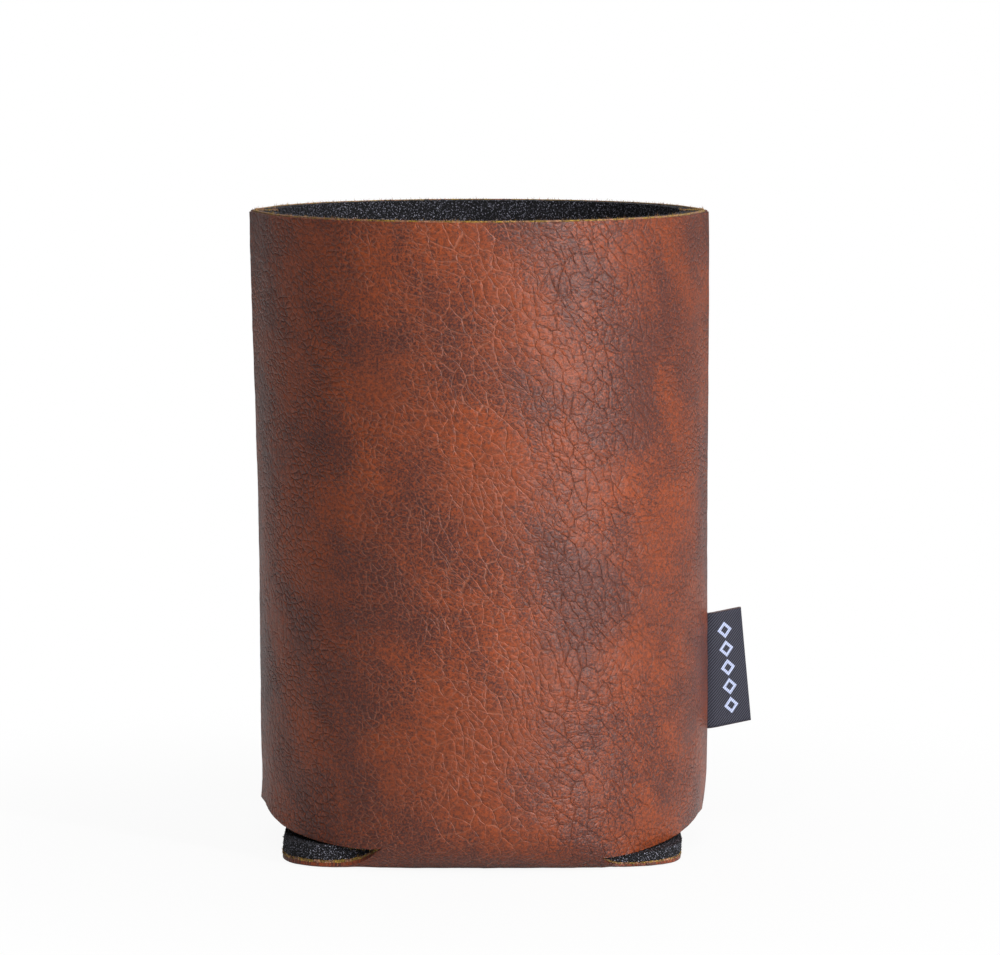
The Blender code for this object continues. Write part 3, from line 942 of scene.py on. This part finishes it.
def sewing_thread():
    made, nodes, shader = new_shader("sewing thread", roughness=0.6, specular=0.35, sheen=0.2)
    place = nodes.place()
    ply = nodes.noise(nodes.vector("MULTIPLY", place, (1, 1, 0.4)), 0.18, 2.0, 0.6)[0]
    colour = nodes.mix(ply, THREAD_BLACK, THREAD_GREY)
    coat(nodes, shader, colour, nodes.times(ply, 0.08))
    return made


def raise_grain(piece):
    """Push the skin's outer face in and out by its own grain, and keep the result."""
    tree = bpy.data.node_groups.new("raise grain", "GeometryNodeTree")
    for in_out in ("INPUT", "OUTPUT"):
        tree.interface.new_socket("Geometry", in_out=in_out, socket_type="NodeSocketGeometry")
    nodes = Nodes(tree)
    relief = skin_grain(nodes, nodes.attribute("flat", is_vector=True))[0]
    mask = nodes.attribute("outer")
    normal = nodes.make("GeometryNodeInputNormal").outputs[0]
    move = nodes.scaled(normal, nodes.times(nodes.less(relief, SWELL_HEIGHT / 2), mask, MM))
    start = nodes.make("NodeGroupInput").outputs[0]
    setter = nodes.make("GeometryNodeSetPosition", {"Geometry": start, "Offset": move})
    nodes.make("NodeGroupOutput", {0: setter.outputs[0]})
    piece.modifiers.new("grain", "NODES").node_group = tree
    keep_modifiers(piece)
    rest_on_ground(piece.data)


def rest_on_ground(mesh):
    """Lift what the grain pushed through the ground back up to it."""
    points = np.zeros(3 * len(mesh.vertices), dtype=np.float32)
    mesh.vertices.foreach_get("co", points)
    points[2::3] = np.maximum(points[2::3], 0)
    mesh.vertices.foreach_set("co", points)
    mesh.update()


def keep_modifiers(piece):
    graph = bpy.context.evaluated_depsgraph_get()
    shaped = piece.evaluated_get(graph)
    kept = bpy.data.meshes.new_from_object(shaped, preserve_all_data_layers=True, depsgraph=graph)
    piece.modifiers.clear()
    piece.data = kept


def label_path():
    """Folded ribbon seen from above: (distance out, sideways, distance along the ribbon)."""
    half = (LABEL_PLY + LABEL_FOLD_GAP) / 2
    length = LABEL_CAUGHT + LABEL_REACH
    out = list(np.linspace(0, length - half, LABEL_COLUMNS))
    path = [(distance, -half) for distance in out]
    for step in range(1, LABEL_FOLD_STEPS):
        turn = math.pi * step / LABEL_FOLD_STEPS
        path.append((length - half + half * math.sin(turn), -half * math.cos(turn)))
    return path + [(distance, half) for distance in reversed(out)]


def swung(distance, sideways, z):
    """Place a point of the straight ribbon in the seam, with the free part swung back."""
    turning = min(max(distance - LABEL_CAUGHT, 0.0), LABEL_SWING_LENGTH)
    angle = LABEL_SWING * turning / LABEL_SWING_LENGTH
    straight = min(distance, LABEL_CAUGHT)
    beyond = max(distance - LABEL_CAUGHT - LABEL_SWING_LENGTH, 0.0)
    bend = LABEL_SWING_LENGTH / LABEL_SWING
    x = straight + bend * math.sin(angle) + beyond * math.cos(angle)
    y = bend * (1 - math.cos(angle)) + beyond * math.sin(angle)
    wave = math.sin(LABEL_CURL_ANGLE * (z - LABEL_CENTRE_HEIGHT) / LABEL_HEIGHT)
    y += LABEL_CURL * (beyond / LABEL_REACH) * wave
    start = corner_reach(z) - LABEL_CAUGHT
    return start + x - sideways * math.sin(angle), y + sideways * math.cos(angle), z


def label_mesh():
    """Ribbon folded in two, with its ends between the faces of the right-hand seam."""
    ups = np.linspace(LABEL_HEIGHT / 2, -LABEL_HEIGHT / 2, LABEL_ROWS)
    path = label_path()
    points = np.zeros((len(ups), len(path), 3))
    flats = np.zeros_like(points)
    for row, up in enumerate(ups):
        for column, (distance, sideways) in enumerate(path):
            out = distance * math.cos(LABEL_TILT) - up * math.sin(LABEL_TILT)
            z = LABEL_CENTRE_HEIGHT + distance * math.sin(LABEL_TILT) + up * math.cos(LABEL_TILT)
            points[row, column] = swung(out, sideways, z)
            flats[row, column] = (distance - LABEL_CAUGHT, up, 0)
    data = MeshData()
    data.add_quads(data.add_grid(points, flats, True), False)
    return finished_mesh("label", data)


def stitch_mesh():
    """Running stitches along the turned-in allowance of both side seams, inside the sleeve."""
    data = MeshData()
    starts = np.arange(STITCH_FOOT, HEIGHT - STITCH_LENGTH, STITCH_PITCH)
    for x_side in (-1, 1):
        for y_side in (-1, 1):
            for z in starts:
                tube = stitch_tube(x_side, y_side, z)
                data.add_quads(data.add_grid(tube, tube, True), False)
    return finished_mesh("stitches", data)


def stitch_tube(x_side, y_side, z):
    """Points round one stitch, thickest and furthest out of the foam in its middle."""
    ring = np.linspace(0, 2 * math.pi, STITCH_POINTS)
    along = np.linspace(0, 1, STITCH_POINTS)
    arch = np.sin(math.pi * along)
    x = TURNED_IN_X + STITCH_INSET
    y = SEAM_HALF_GAP + LAMINATE + STITCH_BOW * (arch - STITCH_SUNK_SHARE)
    middle = stack(x_side * x + 0 * along, y_side * y, z + STITCH_LENGTH * along)
    radius = STITCH_RADIUS * np.sqrt(np.clip(arch, STITCH_THINNEST, 1))
    around = stack(np.cos(ring), np.sin(ring), 0 * ring)
    return middle[:, None, :] + radius[:, None, None] * around[None, :, :]


def soft_light(name, place, aim, size, power):
    lamp = bpy.data.lights.new(name, "AREA")
    lamp.shape = "RECTANGLE"
    lamp.size, lamp.size_y = size
    lamp.energy = power
    made = bpy.data.objects.new(name, lamp)
    made.location = place
    made.rotation_euler = (Vector(aim) - Vector(place)).to_track_quat("-Z", "Y").to_euler()
    bpy.context.scene.collection.objects.link(made)


def place_on_ring(azimuth, distance, height):
    """A place round the sleeve; azimuth is in degrees to the right of straight in front."""
    turn = math.radians(azimuth)
    return (distance * math.sin(turn), -distance * math.cos(turn), height)


def light_scene():
    middle = (0, 0, 0.05)
    soft_light("key", place_on_ring(58, 0.8, 0.20), middle, (0.60, 0.9), 2.6)
    soft_light("strip", place_on_ring(46, 0.8, 0.12), middle, (0.05, 0.9), 8.0)
    soft_light("front", place_on_ring(-5, 1.0, 1.0), middle, (0.6, 0.6), 5.6)
    soft_light("top", (0.1, 0.0, 1.2), middle, (0.8, 0.8), 2.5)
    soft_light("back", place_on_ring(180, 0.7, 1.1), middle, (0.7, 0.7), 2.4)


def white_world():
    """White where it is seen, and only as bright elsewhere as the fill light needs."""
    world = bpy.data.worlds.new("studio")
    bpy.context.scene.world = world
    world.use_nodes = True
    nodes = Nodes(world.node_tree)
    background = world.node_tree.nodes["Background"]
    nodes.feed(background.inputs["Color"], WHITE)
    seen = seen_rays(nodes)
    strength = nodes.add(nodes.times(seen, 1 - WORLD_LEVEL), WORLD_LEVEL)
    nodes.feed(background.inputs["Strength"], strength)


def seen_rays(nodes):
    """How much of the white background a ray sees: all of it, a part in gloss, or none."""
    rays = nodes.make("ShaderNodeLightPath").outputs
    seen = nodes.math("MAXIMUM", rays["Is Camera Ray"], rays["Is Transmission Ray"])
    return nodes.math("MAXIMUM", seen, nodes.times(rays["Is Glossy Ray"], GLOSS_SHARE))


def studio_floor():
    """Pale floor that keeps the contact shadow and fades to the white of the background."""
    mesh = bpy.data.meshes.new("floor")
    reach = FLOOR_REACH
    corners = [(-reach, -reach, 0), (reach, -reach, 0), (reach, reach, 0), (-reach, reach, 0)]
    mesh.from_pydata(corners, [], [(0, 1, 2, 3)])
    floor = bpy.data.objects.new("floor", mesh)
    floor.location.z = -FLOOR_DROP
    bpy.context.scene.collection.objects.link(floor)
    made, nodes, shader = new_shader("pale floor", roughness=0.9, specular=0.1)
    nodes.feed(shader.inputs["Base Color"], FLOOR_PALE)
    place = nodes.make("ShaderNodeTexCoord").outputs["Object"]
    length = nodes.make("ShaderNodeVectorMath", {0: place}, operation="LENGTH")
    away = nodes.ramp(length.outputs["Value"], *FLOOR_FADE, FLOOR_GLOW, 1.0)
    glowing = nodes.times(away, seen_rays(nodes))
    glow = nodes.make("ShaderNodeEmission").outputs[0]
    mixed = nodes.make("ShaderNodeMixShader", {0: glowing, 1: shader.outputs[0], 2: glow})
    output = made.node_tree.nodes["Material Output"]
    nodes.feed(output.inputs["Surface"], mixed.outputs[0])
    mesh.materials.append(made)


def set_camera():
    data = bpy.data.cameras.new("camera")
    data.lens = CAMERA_LENS
    data.sensor_width = CAMERA_SENSOR
    camera = bpy.data.objects.new("camera", data)
    camera.location = CAMERA_PLACE
    camera.rotation_euler = (math.pi / 2 - CAMERA_DOWN, 0, 0)
    bpy.context.scene.collection.objects.link(camera)
    bpy.context.scene.camera = camera


def dress():
    skin_mesh = laminate_mesh("skin", Layer(0.0, SKIN_DEPTH, SKIN_CELL, INNER_STRIDE))
    skin = new_piece("leatherette_skin", skin_mesh, leatherette())
    raise_grain(skin)
    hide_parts("leatherette_cover")

    cloth_layer = Layer(SKIN_DEPTH, CLOTH_DEPTH, CLOTH_CELL, INNER_STRIDE, CLOTH_FUZZ)
    cloth_mesh = laminate_mesh("cloth", cloth_layer)
    cloth = new_piece("backing_cloth", cloth_mesh, cut_cloth())
    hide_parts("leatherette_cover")

    foam_layer = Layer(CLOTH_DEPTH, FOAM_DEPTH, FOAM_CELL, 1, FOAM_FUZZ)
    foam_mesh = laminate_mesh("foam", foam_layer)
    foam = new_piece("foam", foam_mesh, open_foam())
    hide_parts("foam_lining")

    label = new_piece("folded_label", label_mesh(), woven_ribbon())
    ply = label.modifiers.new("ply", "SOLIDIFY")
    ply.thickness = LABEL_PLY
    ply.offset = 0
    ply.use_even_offset = True
    keep_modifiers(label)
    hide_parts("side_label")

    stitches = new_piece("seam_stitches", stitch_mesh(), sewing_thread())


dress()
light_scene()
white_world()
studio_floor()
set_camera()
bpy.context.scene.view_settings.view_transform = "Standard"
